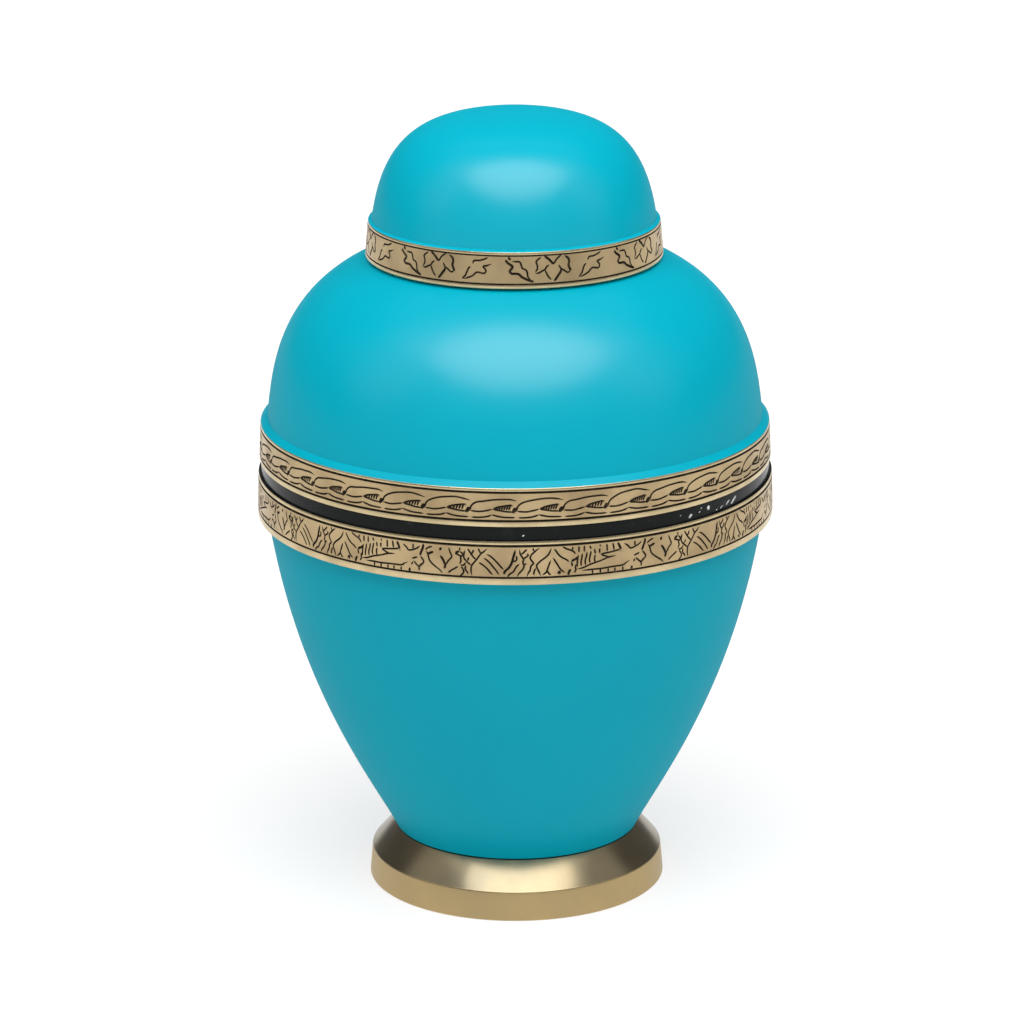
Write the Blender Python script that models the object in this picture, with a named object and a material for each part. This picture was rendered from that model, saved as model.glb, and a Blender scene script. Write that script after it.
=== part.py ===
"""Brass cremation urn in turquoise enamel: lid, two half shells and a foot, all turned and hollow.

Metres, +Z up. The origin is the centre of the underside, and the front faces -Y.
Every profile is a list of (radius, height) points that is turned round the Z axis.
The three brass bands are engraved: each cut is a stroke that tapers to a point at both ends.
"""
import bmesh
import bpy
import numpy
from math import cos, hypot, radians, sin, tau
from mathutils import Vector
from mathutils.geometry import delaunay_2d_cdt

# Turning
SIDES = 32
WELD = 0.000001

# Walls and fits
WALL = 0.0020
JOINT_GAP = 0.0003
SLIP_FIT = 0.0004

# Foot
FOOT_RADIUS = 0.0508
FOOT_EDGE_RADIUS = 0.0499
FOOT_TOP_RADIUS = 0.0419
FOOT_SKIRT_HEIGHT = 0.0099
FOOT_HEIGHT = 0.0188
FOOT_RIM_WIDTH = 0.0040
FOOT_SEAT_WIDTH = 0.0050
FOOT_EDGE_EASE = 0.0004

# Lower half shell
BOWL_HEIGHT = 0.1120
BAND_OVERHANG = 0.0032
LEAF_BAND_RADIUS = 0.0874
LEAF_BAND_TAPER = 0.0004
LEAF_BAND_HEIGHT = 0.0145
LEAF_BORDER_BELOW = 0.0024
LEAF_BORDER_ABOVE = 0.0015
GROOVE_SETBACK = 0.0010
GROOVE_HEIGHT = 0.0048
SPIGOT_DEPTH = 0.0060

# Upper half shell
BRAID_BAND_RADIUS = 0.08655
BRAID_BAND_TAPER = 0.00055
BRAID_BAND_HEIGHT = 0.01265
BRAID_BORDER_BELOW = 0.00195
BRAID_BORDER_ABOVE = 0.00130
LEDGE_WIDTH = 0.0024
LEDGE_RISE = 0.00175
SHOULDER_RISE = 0.0621

# Lid
LID_RADIUS = 0.0499
LID_TAPER = 0.0010
LID_BAND_HEIGHT = 0.0119
LID_BORDER_BELOW = 0.0015
LID_BORDER_ABOVE = 0.0011
LID_SKIRT_WALL = 0.0022
LID_CLEARANCE = 0.0013
LID_SEAT_WIDTH = 0.0012
LID_LEAD_IN = 0.0010
LID_SHELF_WIDTH = 0.0013
LID_SHELF_RISE = 0.0006
DOME_HEIGHT = 0.0353

# Engraving
BORDER_LINE_WIDTH = 0.0007
CUT_WIDTH = 0.0006
CUT_SLOPE = 0.85

# Motifs: how many go round each band, and where in front the first one starts, in degrees
# from the front, positive to the right; the engraver gave two leaf motifs in front more room
LEAF_MOTIFS = 8
LEAF_FIRST = -49.5
LEAF_FRONT_WIDTHS = (47.1, 49.8)
BRAID_REPEATS = 36
BRAID_FIRST = 0.2
LID_MOTIFS = 8
LID_FIRST = 15.0

# Curves of the turned profiles: how far each handle reaches, as shares of the curve's own
# width and height, first handle from the start, second handle from the end
BOWL_HANDLES = ((0.210, 0.552), (0.197, 0.149))
SHOULDER_HANDLES = ((0.029, 0.357), (0.931, 0.0))
DOME_HANDLES = ((0.090, 0.844), (0.589, 0.0))
OUTSIDE_STEPS = 8
INSIDE_STEPS = 6


def curve_point(start, end, handles, share):
    """Point of the cubic curve between two profile points, share running from 0 to 1."""
    (out_r, out_z), (in_r, in_z) = handles
    span_r, span_z = end[0] - start[0], end[1] - start[1]
    first = (start[0] + out_r * span_r, start[1] + out_z * span_z)
    second = (end[0] - in_r * span_r, end[1] - in_z * span_z)
    rest = 1.0 - share
    weights = (rest ** 3, 3 * rest ** 2 * share, 3 * rest * share ** 2, share ** 3)
    corners = (start, first, second, end)
    return tuple(sum(w * c[axis] for w, c in zip(weights, corners)) for axis in (0, 1))


def curve(start, end, handles, steps, last=1.0):
    """The curve as profile points, from its start to the share called last."""
    return [curve_point(start, end, handles, last * step / steps) for step in range(steps + 1)]


def share_at(start, end, handles, axis, value):
    """Share at which the curve reaches a radius (axis 0) or a height (axis 1)."""
    low, high = 0.0, 1.0
    rising = end[axis] > start[axis]
    for _ in range(50):
        middle = (low + high) / 2
        if (curve_point(start, end, handles, middle)[axis] < value) == rising:
            low = middle
        else:
            high = middle
    return (low + high) / 2


def inset(points, wall):
    """Profile points moved square to the profile, towards the hollow side of the shell."""
    moved = []
    for index, (radius, height) in enumerate(points):
        before = points[max(index - 1, 0)]
        after = points[min(index + 1, len(points) - 1)]
        run_r, run_z = after[0] - before[0], after[1] - before[1]
        length = hypot(run_r, run_z)
        side = 1.0 if run_z < 0 else -1.0
        moved.append((radius + side * wall * run_z / length, height - side * wall * run_r / length))
    return moved


def bowed(start, end, bow=0.0, points=3):
    """A stroke from start to end that bows to its left by a share of its length."""
    run = (end[0] - start[0], end[1] - start[1])
    stroke = []
    for step in range(points):
        share = step / (points - 1)
        swell = bow * 4 * share * (1 - share)
        stroke.append((start[0] + share * run[0] - swell * run[1],
                       start[1] + share * run[1] + swell * run[0]))
    return stroke


def leaf_motif():
    """Leaf scroll of the wide band, on a grid 48 long and 10 high between the border lines."""
    strokes = [
        bowed((0.1, 1.2), (2.3, 9.0), -0.06),
        bowed((2.9, 0.8), (3.3, 9.0), -0.10),
        bowed((4.9, 0.8), (7.2, 9.0), -0.02),
        bowed((7.4, 0.8), (6.8, 4.2), 0.08),
        bowed((6.8, 4.2), (9.6, 9.0), -0.06),
        bowed((10.3, 9.0), (13.4, 4.5), -0.09),
        bowed((13.9, 3.8), (13.1, 0.9), 0.05),
        bowed((12.0, 9.2), (14.7, 6.8), 0.12),
        bowed((14.8, 2.1), (23.4, 5.2), 0.0),
        bowed((15.8, 1.6), (26.4, 3.2), -0.09),
        bowed((25.2, 8.8), (26.8, 6.8), 0.0),
        bowed((26.8, 6.8), (29.6, 8.6), -0.05),
        bowed((30.7, 7.5), (34.5, 0.9), -0.06),
        bowed((33.9, 6.3), (35.0, 2.6), 0.06),
        bowed((35.3, 3.2), (36.0, 9.0), -0.18),
        [(44.2, 9.0), (40.9, 3.4), (41.0, 0.8)],
    ]
    for rung in range(6):
        left = 15.4 + 1.8 * rung
        strokes.append([(left, 9.2), (left + 0.2, 8.0), (left + 0.3, 6.8)])
    for arc in range(3):
        strokes.append(bowed((44.3 - 0.9 * arc, 7.5 - 1.3 * arc), (47.9 - 1.1 * arc, 2.4 - 0.8 * arc), 0.05))
    return strokes


def lid_motif():
    """Three-lobed leaf between two wavy ones, on a grid 45 long and 10 high, zero at its middle."""
    lobe = [(0.0, 6.7), (3.2, 9.0), (5.6, 8.4), (5.8, 6.0), (6.8, 4.1)]
    under = [(6.5, 3.8), (2.8, 5.1), (1.8, 6.2)]
    tongue = [(2.8, 4.8), (1.9, 2.9), (0.1, 1.0)]
    leaf_edge = [(-18.3, 8.6), (-15.7, 6.4), (-16.8, 4.6), (-12.8, 3.4), (-7.8, 1.1)]
    leaf_back = [(-16.2, 8.1), (-13.0, 7.8), (-11.6, 5.3), (-9.9, 3.0)]
    strokes = []
    for side in (1, -1):
        strokes += [[(side * u, v) for u, v in line] for line in (lobe, under, tongue)]
    for side, shift in ((1, 0.0), (-1, 2.0)):
        strokes += [[(side * u + shift, v) for u, v in line] for line in (leaf_edge, leaf_back)]
    return strokes


def braid_repeat():
    """One strand of the braid, on a grid 10 long and 10 high, zero at the strand's foot."""
    strand = [(0.0, 3.9), (1.4, 6.5), (5.5, 8.0), (10.2, 7.0)]
    eye = bowed((5.6, 4.4), (9.5, 3.9), 0.0)
    return [strand, eye]


def placed(motif, grid_length, start, width, low, high):
    """Strokes of one motif in degrees round the band and in height between the border lines."""
    return [[(start + u * width / grid_length, low + v / 10 * (high - low)) for u, v in stroke]
            for stroke in motif]


def engraved_face(shape, bottom, top, border_low, border_high, strokes):
    """Face of a brass band with its engraving cut in, as one strip round the axis.

    bottom and top are the (radius, height) of its edges. Each stroke is cut as a V that is
    widest along its middle points; the border lines are cuts that run all the way round.
    """
    mean_radius = (bottom[0] + top[0]) / 2
    half_turn = tau / 2 * mean_radius
    column = 2 * half_turn / SIDES
    points, edges, cuts = [], [], []

    def line(path):
        first = len(points)
        points.extend(path)
        edges.extend((first + i, first + i + 1) for i in range(len(path) - 1))

    def cut(path, half_widths):
        sides = {-1: [], 0: list(path), 1: []}
        for index, (point, half) in enumerate(zip(path, half_widths)):
            before, after = path[max(index - 1, 0)], path[min(index + 1, len(path) - 1)]
            run = (after[0] - before[0], after[1] - before[1])
            length = hypot(*run)
            for side in (-1, 1):
                sides[side].append((point[0] - side * half * run[1] / length,
                                    point[1] + side * half * run[0] / length))
        for side in sides.values():
            line(side)
        cuts.extend(zip(path, path[1:], half_widths, half_widths[1:]))

    columns = [-half_turn + column * k for k in range(SIDES + 1)]
    for height in (bottom[1], top[1]):
        line([(x, height) for x in columns])
    for x in (-half_turn, half_turn):
        line([(x, bottom[1]), (x, top[1])])
    beyond = [columns[0] - column] + columns + [columns[-1] + column]
    for height in (border_low, border_high):
        cut([(x, height) for x in beyond], [BORDER_LINE_WIDTH / 2] * len(beyond))
    for stroke in strokes:
        for turn in (-360, 0, 360):
            path = [(radians(angle + turn) * mean_radius, height) for angle, height in stroke]
            if min(abs(x) for x, _ in path) < half_turn + CUT_WIDTH:
                cut(path, [0.0] + [CUT_WIDTH / 2] * (len(path) - 2) + [0.0])

    millimetres = 1000.0
    flat = delaunay_2d_cdt([Vector(p) * millimetres for p in points], edges, [], 0, 0.0001)
    at = numpy.array([tuple(p) for p in flat[0]]) / millimetres
    depth = numpy.zeros(len(at))
    for start, end, half_start, half_end in cuts:
        run = numpy.subtract(end, start)
        share = numpy.clip((at - start) @ run / (run @ run), 0.0, 1.0)
        away = numpy.linalg.norm(at - start - share[:, None] * run, axis=1)
        half = half_start + share * (half_end - half_start)
        depth = numpy.maximum(depth, CUT_SLOPE * (half - away))
    share = (at[:, 1] - bottom[1]) / (top[1] - bottom[1])
    radius = bottom[0] + share * (top[0] - bottom[0]) - depth
    angle = at[:, 0] / mean_radius
    corners = [shape.verts.new((r * sin(a), -r * cos(a), z)) for r, a, z in zip(radius, angle, at[:, 1])]
    for face in flat[2]:
        middle = sum(at[i, 0] for i in face) / len(face)
        if abs(middle) < half_turn:
            shape.faces.new([corners[i] for i in face])


def enamel_or_brass(name, colour, metallic, roughness):
    material = bpy.data.materials.new(name)
    material.use_nodes = True
    shader = material.node_tree.nodes["Principled BSDF"]
    shader.inputs["Base Color"].default_value = (*colour, 1.0)
    shader.inputs["Metallic"].default_value = metallic
    shader.inputs["Roughness"].default_value = roughness
    return material


def turn(shape, profile):
    """The profile turned once round the Z axis."""
    points = [shape.verts.new((0.0, -radius, height)) for radius, height in profile]
    edges = [shape.edges.new(pair) for pair in zip(points, points[1:])]
    bmesh.ops.spin(shape, geom=points + edges, cent=(0, 0, 0), axis=(0, 0, 1), angle=tau,
                   steps=SIDES, use_merge=True)


def finished(name, shape, material):
    """The named object of a shape whose turned and engraved faces meet edge to edge."""
    bmesh.ops.remove_doubles(shape, verts=shape.verts, dist=WELD)
    loose = [corner for corner in shape.verts if not corner.link_faces]
    bmesh.ops.delete(shape, geom=loose, context="VERTS")
    bmesh.ops.recalc_face_normals(shape, faces=shape.faces)
    mesh = bpy.data.meshes.new(name)
    shape.to_mesh(mesh)
    shape.free()
    mesh.shade_smooth()
    mesh.set_sharp_from_angle(angle=radians(30))
    mesh.materials.append(material)
    piece = bpy.data.objects.new(name, mesh)
    bpy.context.scene.collection.objects.link(piece)
    return piece


def foot(material):
    """Foot ring: a cone over a nearly upright skirt, hollow and open below."""
    seat_bore = FOOT_TOP_RADIUS - FOOT_SEAT_WIDTH
    rim_bore = FOOT_RADIUS - FOOT_RIM_WIDTH
    shape = bmesh.new()
    turn(shape, [
        (FOOT_TOP_RADIUS, FOOT_HEIGHT),
        (FOOT_EDGE_RADIUS, FOOT_SKIRT_HEIGHT),
        (FOOT_RADIUS, FOOT_EDGE_EASE),
        (FOOT_RADIUS - FOOT_EDGE_EASE, 0.0),
        (rim_bore, 0.0),
        (rim_bore, FOOT_SKIRT_HEIGHT - WALL),
        (seat_bore, FOOT_HEIGHT - WALL),
        (seat_bore, FOOT_HEIGHT),
        (FOOT_TOP_RADIUS, FOOT_HEIGHT),
    ])
    return finished("foot", shape, material)


BOWL_BASE = FOOT_HEIGHT + JOINT_GAP
LEAF_BAND_BASE = BOWL_BASE + BOWL_HEIGHT
LEAF_BAND_TOP = LEAF_BAND_BASE + LEAF_BAND_HEIGHT
BRAID_BAND_BASE = LEAF_BAND_TOP + GROOVE_HEIGHT
BRAID_BAND_TOP = BRAID_BAND_BASE + BRAID_BAND_HEIGHT
LEAF_BAND_TOP_RADIUS = LEAF_BAND_RADIUS - LEAF_BAND_TAPER
GROOVE_RADIUS = LEAF_BAND_TOP_RADIUS - GROOVE_SETBACK
SOCKET_RADIUS = GROOVE_RADIUS - WALL
SPIGOT_RADIUS = SOCKET_RADIUS - SLIP_FIT


def lower_body(material):
    """Lower half shell: flat bottom, bowl, leaf band and the wall of the groove above it."""
    bowl_top = (LEAF_BAND_RADIUS - BAND_OVERHANG, LEAF_BAND_BASE)
    bowl_end = (FOOT_TOP_RADIUS, BOWL_BASE)
    outside = curve(bowl_top, bowl_end, BOWL_HANDLES, OUTSIDE_STEPS)
    floor = BOWL_BASE + WALL
    last = share_at(bowl_top, bowl_end, BOWL_HANDLES, 1, floor)
    hollow = inset(curve(bowl_top, bowl_end, BOWL_HANDLES, INSIDE_STEPS, last), WALL)
    hollow[-1] = (hollow[-1][0], floor)
    rim = BRAID_BAND_BASE - JOINT_GAP
    socket_floor = BRAID_BAND_BASE - SPIGOT_DEPTH - JOINT_GAP
    band_top = (LEAF_BAND_TOP_RADIUS, LEAF_BAND_TOP)
    band_bottom = (LEAF_BAND_RADIUS, LEAF_BAND_BASE)
    shape = bmesh.new()
    turn(shape, [(0.0, floor)] + hollow[::-1] + [(SOCKET_RADIUS, socket_floor), (SOCKET_RADIUS, rim),
                                                 (GROOVE_RADIUS, rim), (GROOVE_RADIUS, LEAF_BAND_TOP), band_top])
    turn(shape, [band_bottom] + outside + [(0.0, BOWL_BASE)])
    low, high = LEAF_BAND_BASE + LEAF_BORDER_BELOW, LEAF_BAND_TOP - LEAF_BORDER_ABOVE
    rest = (360 - sum(LEAF_FRONT_WIDTHS)) / (LEAF_MOTIFS - len(LEAF_FRONT_WIDTHS))
    strokes, start = [], LEAF_FIRST
    for index in range(LEAF_MOTIFS):
        width = LEAF_FRONT_WIDTHS[index] if index < len(LEAF_FRONT_WIDTHS) else rest
        strokes += placed(leaf_motif(), 48, start, width, low, high)
        start += width
    engraved_face(shape, band_bottom, band_top, low, high, wrapped(strokes))
    return finished("lower_body", shape, material)


def wrapped(strokes):
    """The strokes with each one's start brought within half a turn of the front."""
    return [[(angle - 360 * round(stroke[0][0] / 360), height) for angle, height in stroke]
            for stroke in strokes]


LEDGE_TOP = BRAID_BAND_TOP + LEDGE_RISE
BRAID_BAND_TOP_RADIUS = BRAID_BAND_RADIUS - BRAID_BAND_TAPER
SHOULDER_START = (BRAID_BAND_TOP_RADIUS - LEDGE_WIDTH, LEDGE_TOP)
SHOULDER_CROWN = (0.0, LEDGE_TOP + SHOULDER_RISE)
LID_TOP_RADIUS = LID_RADIUS - LID_TAPER
SKIRT_BORE = LID_TOP_RADIUS - LID_SKIRT_WALL
NECK_RADIUS = SKIRT_BORE - SLIP_FIT


def shoulder_height(radius):
    share = share_at(SHOULDER_START, SHOULDER_CROWN, SHOULDER_HANDLES, 0, radius)
    return curve_point(SHOULDER_START, SHOULDER_CROWN, SHOULDER_HANDLES, share)[1]


LID_BASE = shoulder_height(LID_RADIUS) + LID_CLEARANCE
LID_BAND_TOP = LID_BASE + LID_BAND_HEIGHT
LID_SEAT = LID_BAND_TOP - LID_SHELF_RISE
NECK_TOP = LID_SEAT - JOINT_GAP


def upper_body(material):
    """Upper half shell: braid band, shoulder and the plain neck that the lid slips over."""
    last = share_at(SHOULDER_START, SHOULDER_CROWN, SHOULDER_HANDLES, 0, NECK_RADIUS)
    neck_bore = NECK_RADIUS - WALL
    outside = curve(SHOULDER_START, SHOULDER_CROWN, SHOULDER_HANDLES, OUTSIDE_STEPS, last)
    hollow = inset(curve(SHOULDER_START, SHOULDER_CROWN, SHOULDER_HANDLES, INSIDE_STEPS, last), WALL)
    hollow[-1] = (neck_bore, hollow[-1][1])
    spigot_end = BRAID_BAND_BASE - SPIGOT_DEPTH
    band_top = (BRAID_BAND_TOP_RADIUS, BRAID_BAND_TOP)
    band_bottom = (BRAID_BAND_RADIUS, BRAID_BAND_BASE)
    shape = bmesh.new()
    turn(shape, [band_bottom, (SPIGOT_RADIUS, BRAID_BAND_BASE), (SPIGOT_RADIUS, spigot_end),
                 (SPIGOT_RADIUS - WALL, spigot_end)] + hollow
         + [(neck_bore, NECK_TOP), (NECK_RADIUS, NECK_TOP)] + outside[::-1] + [band_top])
    low, high = BRAID_BAND_BASE + BRAID_BORDER_BELOW, BRAID_BAND_TOP - BRAID_BORDER_ABOVE
    pitch = 360 / BRAID_REPEATS
    strokes = []
    for index in range(BRAID_REPEATS):
        strokes += placed(braid_repeat(), 10, BRAID_FIRST + index * pitch, pitch, low, high)
    engraved_face(shape, band_bottom, band_top, low, high, wrapped(strokes))
    return finished("upper_body", shape, material)


def lid(material):
    """Lid: a skirt with the small leaf band, a seat that rests on the neck, and a hollow dome."""
    dome_start = (LID_TOP_RADIUS - LID_SHELF_WIDTH, LID_BAND_TOP + LID_SHELF_RISE)
    crown = (0.0, LID_BAND_TOP + LID_SHELF_RISE + DOME_HEIGHT)
    outside = curve(dome_start, crown, DOME_HANDLES, OUTSIDE_STEPS)
    hollow = inset(curve(dome_start, crown, DOME_HANDLES, INSIDE_STEPS), WALL)
    hollow[-1] = (0.0, crown[1] - WALL)
    hollow[0] = (SKIRT_BORE - LID_SEAT_WIDTH, LID_SEAT)
    band_top = (LID_TOP_RADIUS, LID_BAND_TOP)
    band_bottom = (LID_RADIUS, LID_BASE)
    shape = bmesh.new()
    turn(shape, outside[::-1] + [band_top])
    turn(shape, [band_bottom, (SKIRT_BORE + LID_LEAD_IN, LID_BASE), (SKIRT_BORE, LID_BASE + LID_LEAD_IN),
                 (SKIRT_BORE, LID_SEAT)] + hollow)
    low, high = LID_BASE + LID_BORDER_BELOW, LID_BAND_TOP - LID_BORDER_ABOVE
    pitch = 360 / LID_MOTIFS
    strokes = []
    for index in range(LID_MOTIFS):
        strokes += placed(lid_motif(), 45, LID_FIRST + index * pitch, pitch, low, high)
    engraved_face(shape, band_bottom, band_top, low, high, wrapped(strokes))
    return finished("lid", shape, material)


def main():
    for leftover in list(bpy.data.objects):
        bpy.data.objects.remove(leftover, do_unlink=True)
    foot(enamel_or_brass("foot_brass", (0.60, 0.47, 0.27), 1.0, 0.32))
    lower_body(enamel_or_brass("bowl_enamel", (0.0, 0.34, 0.46), 0.0, 0.25))
    upper_body(enamel_or_brass("shoulder_enamel", (0.0, 0.38, 0.50), 0.0, 0.22))
    lid(enamel_or_brass("lid_enamel", (0.0, 0.40, 0.53), 0.0, 0.22))


main()
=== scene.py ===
"""Looks of the brass cremation urn: turquoise enamel, three engraved brass bands, the black groove
between the half shells and the turned brass foot.

Metres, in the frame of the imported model, with the front facing -Y. A profile is a list of (radius,
height) points that is turned round the Z axis. Angles round the urn are in degrees from the front,
positive to the right.
"""
import random
from math import atan, ceil, cos, degrees, hypot, pi, radians, sin, tau

import bmesh
import bpy
import numpy
from mathutils import Matrix, Vector
from mathutils.geometry import delaunay_2d_cdt


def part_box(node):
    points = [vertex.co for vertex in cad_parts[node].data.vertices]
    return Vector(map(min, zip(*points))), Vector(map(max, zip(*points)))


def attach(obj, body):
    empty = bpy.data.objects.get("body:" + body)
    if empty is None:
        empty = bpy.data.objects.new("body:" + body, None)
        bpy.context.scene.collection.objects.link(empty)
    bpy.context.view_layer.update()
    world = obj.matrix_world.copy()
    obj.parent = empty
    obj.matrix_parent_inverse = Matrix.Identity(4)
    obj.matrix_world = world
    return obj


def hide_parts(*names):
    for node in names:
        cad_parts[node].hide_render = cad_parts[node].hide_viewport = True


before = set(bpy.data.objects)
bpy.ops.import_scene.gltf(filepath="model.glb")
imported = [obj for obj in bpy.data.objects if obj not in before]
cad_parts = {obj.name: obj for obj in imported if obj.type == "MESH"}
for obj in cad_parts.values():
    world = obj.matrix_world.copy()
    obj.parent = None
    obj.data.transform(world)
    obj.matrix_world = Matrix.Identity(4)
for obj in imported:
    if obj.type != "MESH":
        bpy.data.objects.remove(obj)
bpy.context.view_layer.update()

MM = 0.001

# Turning
SIDES = 288
COLUMN = 360 / SIDES
WELD = 0.002 * MM
EASE = 0.25 * MM
EASE_STEPS = 3
EASE_LARGEST_SHARE = 0.45
SHARP_ANGLE = 34
HALVINGS = 50

# Sizes that the frame gives
FOOT_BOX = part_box("foot")
LOWER_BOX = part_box("lower_body")
UPPER_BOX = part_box("upper_body")
LID_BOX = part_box("lid")
FOOT_RADIUS = FOOT_BOX[1].x
FOOT_TOP = FOOT_BOX[1].z
BOWL_BASE = LOWER_BOX[0].z
LEAF_BAND_RADIUS = LOWER_BOX[1].x
GROOVE_RIM = LOWER_BOX[1].z
SPIGOT_END = UPPER_BOX[0].z
BRAID_BAND_RADIUS = UPPER_BOX[1].x
NECK_TOP = UPPER_BOX[1].z
LID_BASE = LID_BOX[0].z
LID_RADIUS = LID_BOX[1].x
CROWN = LID_BOX[1].z

# Walls and fits
WALL = 2.0 * MM
JOINT_GAP = 0.3 * MM
SLIP_FIT = 0.4 * MM

# Foot
FOOT_TOP_RADIUS = 41.9 * MM
FOOT_EDGE_RADIUS = 49.9 * MM
FOOT_SKIRT_HEIGHT = 9.9 * MM
FOOT_RIM_WIDTH = 4.0 * MM
FOOT_SEAT_WIDTH = 5.0 * MM

# Lower half shell
BOWL_HEIGHT = 112.0 * MM
BAND_OVERHANG = 3.2 * MM
LEAF_BAND_HEIGHT = 14.5 * MM
LEAF_BAND_TAPER = 0.4 * MM
GROOVE_SETBACK = 1.0 * MM

# Upper half shell
BRAID_BAND_HEIGHT = 12.65 * MM
BRAID_BAND_TAPER = 0.55 * MM
LEDGE_WIDTH = 2.4 * MM
LEDGE_RISE = 1.75 * MM
SHOULDER_RISE = 62.1 * MM

# Lid
LID_BAND_HEIGHT = 11.9 * MM
LID_TAPER = 1.0 * MM
LID_SKIRT_WALL = 2.2 * MM
LID_SHELF_WIDTH = 1.3 * MM
LID_SHELF_RISE = 0.6 * MM
LID_SEAT_WIDTH = 1.2 * MM
LID_LEAD_IN = 1.0 * MM

# Curves of the profiles: reach of the two handles as shares of the curve's width and height
BOWL_HANDLES = ((0.210, 0.552), (0.197, 0.149))
SHOULDER_HANDLES = ((0.029, 0.357), (0.931, 0.0))
DOME_HANDLES = ((0.090, 0.844), (0.589, 0.0))
OUTSIDE_STEPS = 44
INSIDE_STEPS = 26

# Border lines of each band as (distance from the band's edge, width), below and above
LEAF_BORDERS = ((2.4 * MM, 0.70 * MM), (1.5 * MM, 0.85 * MM))
BRAID_BORDERS = ((1.95 * MM, 0.80 * MM), (1.30 * MM, 0.78 * MM))
LID_BORDERS = ((1.5 * MM, 0.58 * MM), (1.1 * MM, 0.54 * MM))

# Engraving
CUT_SLOPE = 0.95
CHIP_SLOPE = 0.12
CUT_STEP = 0.55 * MM
FINE_WIDTH = 0.62 * MM
HEAVY_WIDTH = 0.84 * MM
BLUNT_TAPER = 0.2 * MM
POINTED_SHARE = 0.14
TAPER_POWER = 0.7
CLEAR_OF_CUT = 0.15 * MM
BEAD_DROP = 0.14 * MM
BEAD_ROWS = 5
BEAD_EDGE = 1.001
FIELD_ROW = 1.6 * MM
SAME_POINT_MM = 0.0001

# Motifs: how many go round each band, where the first one in front starts, and how long its grid is
GRID_HEIGHT = 10
LEAF_MOTIFS = 8
LEAF_FIRST = -49.5
LEAF_FRONT_WIDTHS = (47.1, 49.8)
LEAF_GRID = 48
BRAID_REPEATS = 36
BRAID_FIRST = 0.2
BRAID_GRID = 10
BRAID_SEED = 12
LID_MOTIFS = 8
LID_FIRST = 15.0
LID_GRID = 45

# Chips in the groove's paint as (angle, height above the leaf band, length, width), in degrees and mm
CHIPS = (
    (38.7, 2.5, 0.6, 0.35),
    (41.6, 1.5, 1.7, 0.9),
    (44.4, 2.0, 0.9, 0.5),
    (44.9, 3.1, 0.8, 0.5),
    (47.3, 2.5, 1.4, 1.3),
    (50.1, 0.8, 0.9, 0.4),
    (51.9, 1.2, 1.5, 0.4),
    (54.3, 1.9, 2.4, 0.45),
    (56.7, 1.8, 3.4, 0.75),
    (1.7, 1.7, 0.8, 0.55),
)
CHIP_LEAN = 0.3

# Materials of a shell, in the order of its slots
ENAMEL, ANTIQUE, POLISHED, BLACKENED, GROOVE, CHIPPED, BARE = range(7)


def curve_point(start, end, handles, share):
    """Point of the cubic curve between two profile points, share running from 0 to 1."""
    (out_r, out_z), (in_r, in_z) = handles
    span_r, span_z = end[0] - start[0], end[1] - start[1]
    first = (start[0] + out_r * span_r, start[1] + out_z * span_z)
    second = (end[0] - in_r * span_r, end[1] - in_z * span_z)
    rest = 1.0 - share
    weights = (rest ** 3, 3 * rest ** 2 * share, 3 * rest * share ** 2, share ** 3)
    corners = (start, first, second, end)
    return tuple(sum(w * c[axis] for w, c in zip(weights, corners)) for axis in (0, 1))


def curve(start, end, handles, steps, last=1.0):
    """The curve as profile points, from its start to the share called last."""
    return [curve_point(start, end, handles, last * step / steps) for step in range(steps + 1)]


def share_at(start, end, handles, axis, value):
    """Share at which the curve reaches a radius (axis 0) or a height (axis 1)."""
    low, high = 0.0, 1.0
    rising = end[axis] > start[axis]
    for _ in range(HALVINGS):
        middle = (low + high) / 2
        if (curve_point(start, end, handles, middle)[axis] < value) == rising:
            low = middle
        else:
            high = middle
    return (low + high) / 2


def inset(points, wall):
    """Profile points moved square to the profile, towards the hollow side of the shell."""
    moved = []
    for index, (radius, height) in enumerate(points):
        before = points[max(index - 1, 0)]
        after = points[min(index + 1, len(points) - 1)]
        run_r, run_z = after[0] - before[0], after[1] - before[1]
        length = hypot(run_r, run_z)
        side = 1.0 if run_z < 0 else -1.0
        moved.append((radius + side * wall * run_z / length, height - side * wall * run_r / length))
    return moved


def eased(before, corner, after):
    """A corner of a profile, rounded."""
    def towards(point):
        run = (point[0] - corner[0], point[1] - corner[1])
        share = min(EASE / hypot(*run), EASE_LARGEST_SHARE)
        return (corner[0] + share * run[0], corner[1] + share * run[1])

    first, last = towards(before), towards(after)
    rounded = []
    for step in range(EASE_STEPS + 1):
        share = step / EASE_STEPS
        weights = ((1 - share) ** 2, 2 * share * (1 - share), share ** 2)
        rounded.append(tuple(sum(w * p[axis] for w, p in zip(weights, (first, corner, last)))
                             for axis in (0, 1)))
    return rounded


def eased_profile(points):
    """The profile with every corner between its two ends eased."""
    result = [points[0]]
    for before, corner, after in zip(points, points[1:], points[2:]):
        result += eased(before, corner, after)
    return result + [points[-1]]


def turn(shape, finish, profile):
    """The profile turned once round the Z axis, its faces wearing one finish."""
    known = set(shape.faces)
    points = [shape.verts.new((0.0, -radius, height)) for radius, height in profile]
    edges = [shape.edges.new(pair) for pair in zip(points, points[1:])]
    bmesh.ops.spin(shape, geom=points + edges, cent=(0, 0, 0), axis=(0, 0, 1), angle=tau,
                   steps=SIDES, use_merge=True)
    for face in shape.faces:
        if face not in known:
            face.material_index = finish


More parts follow.
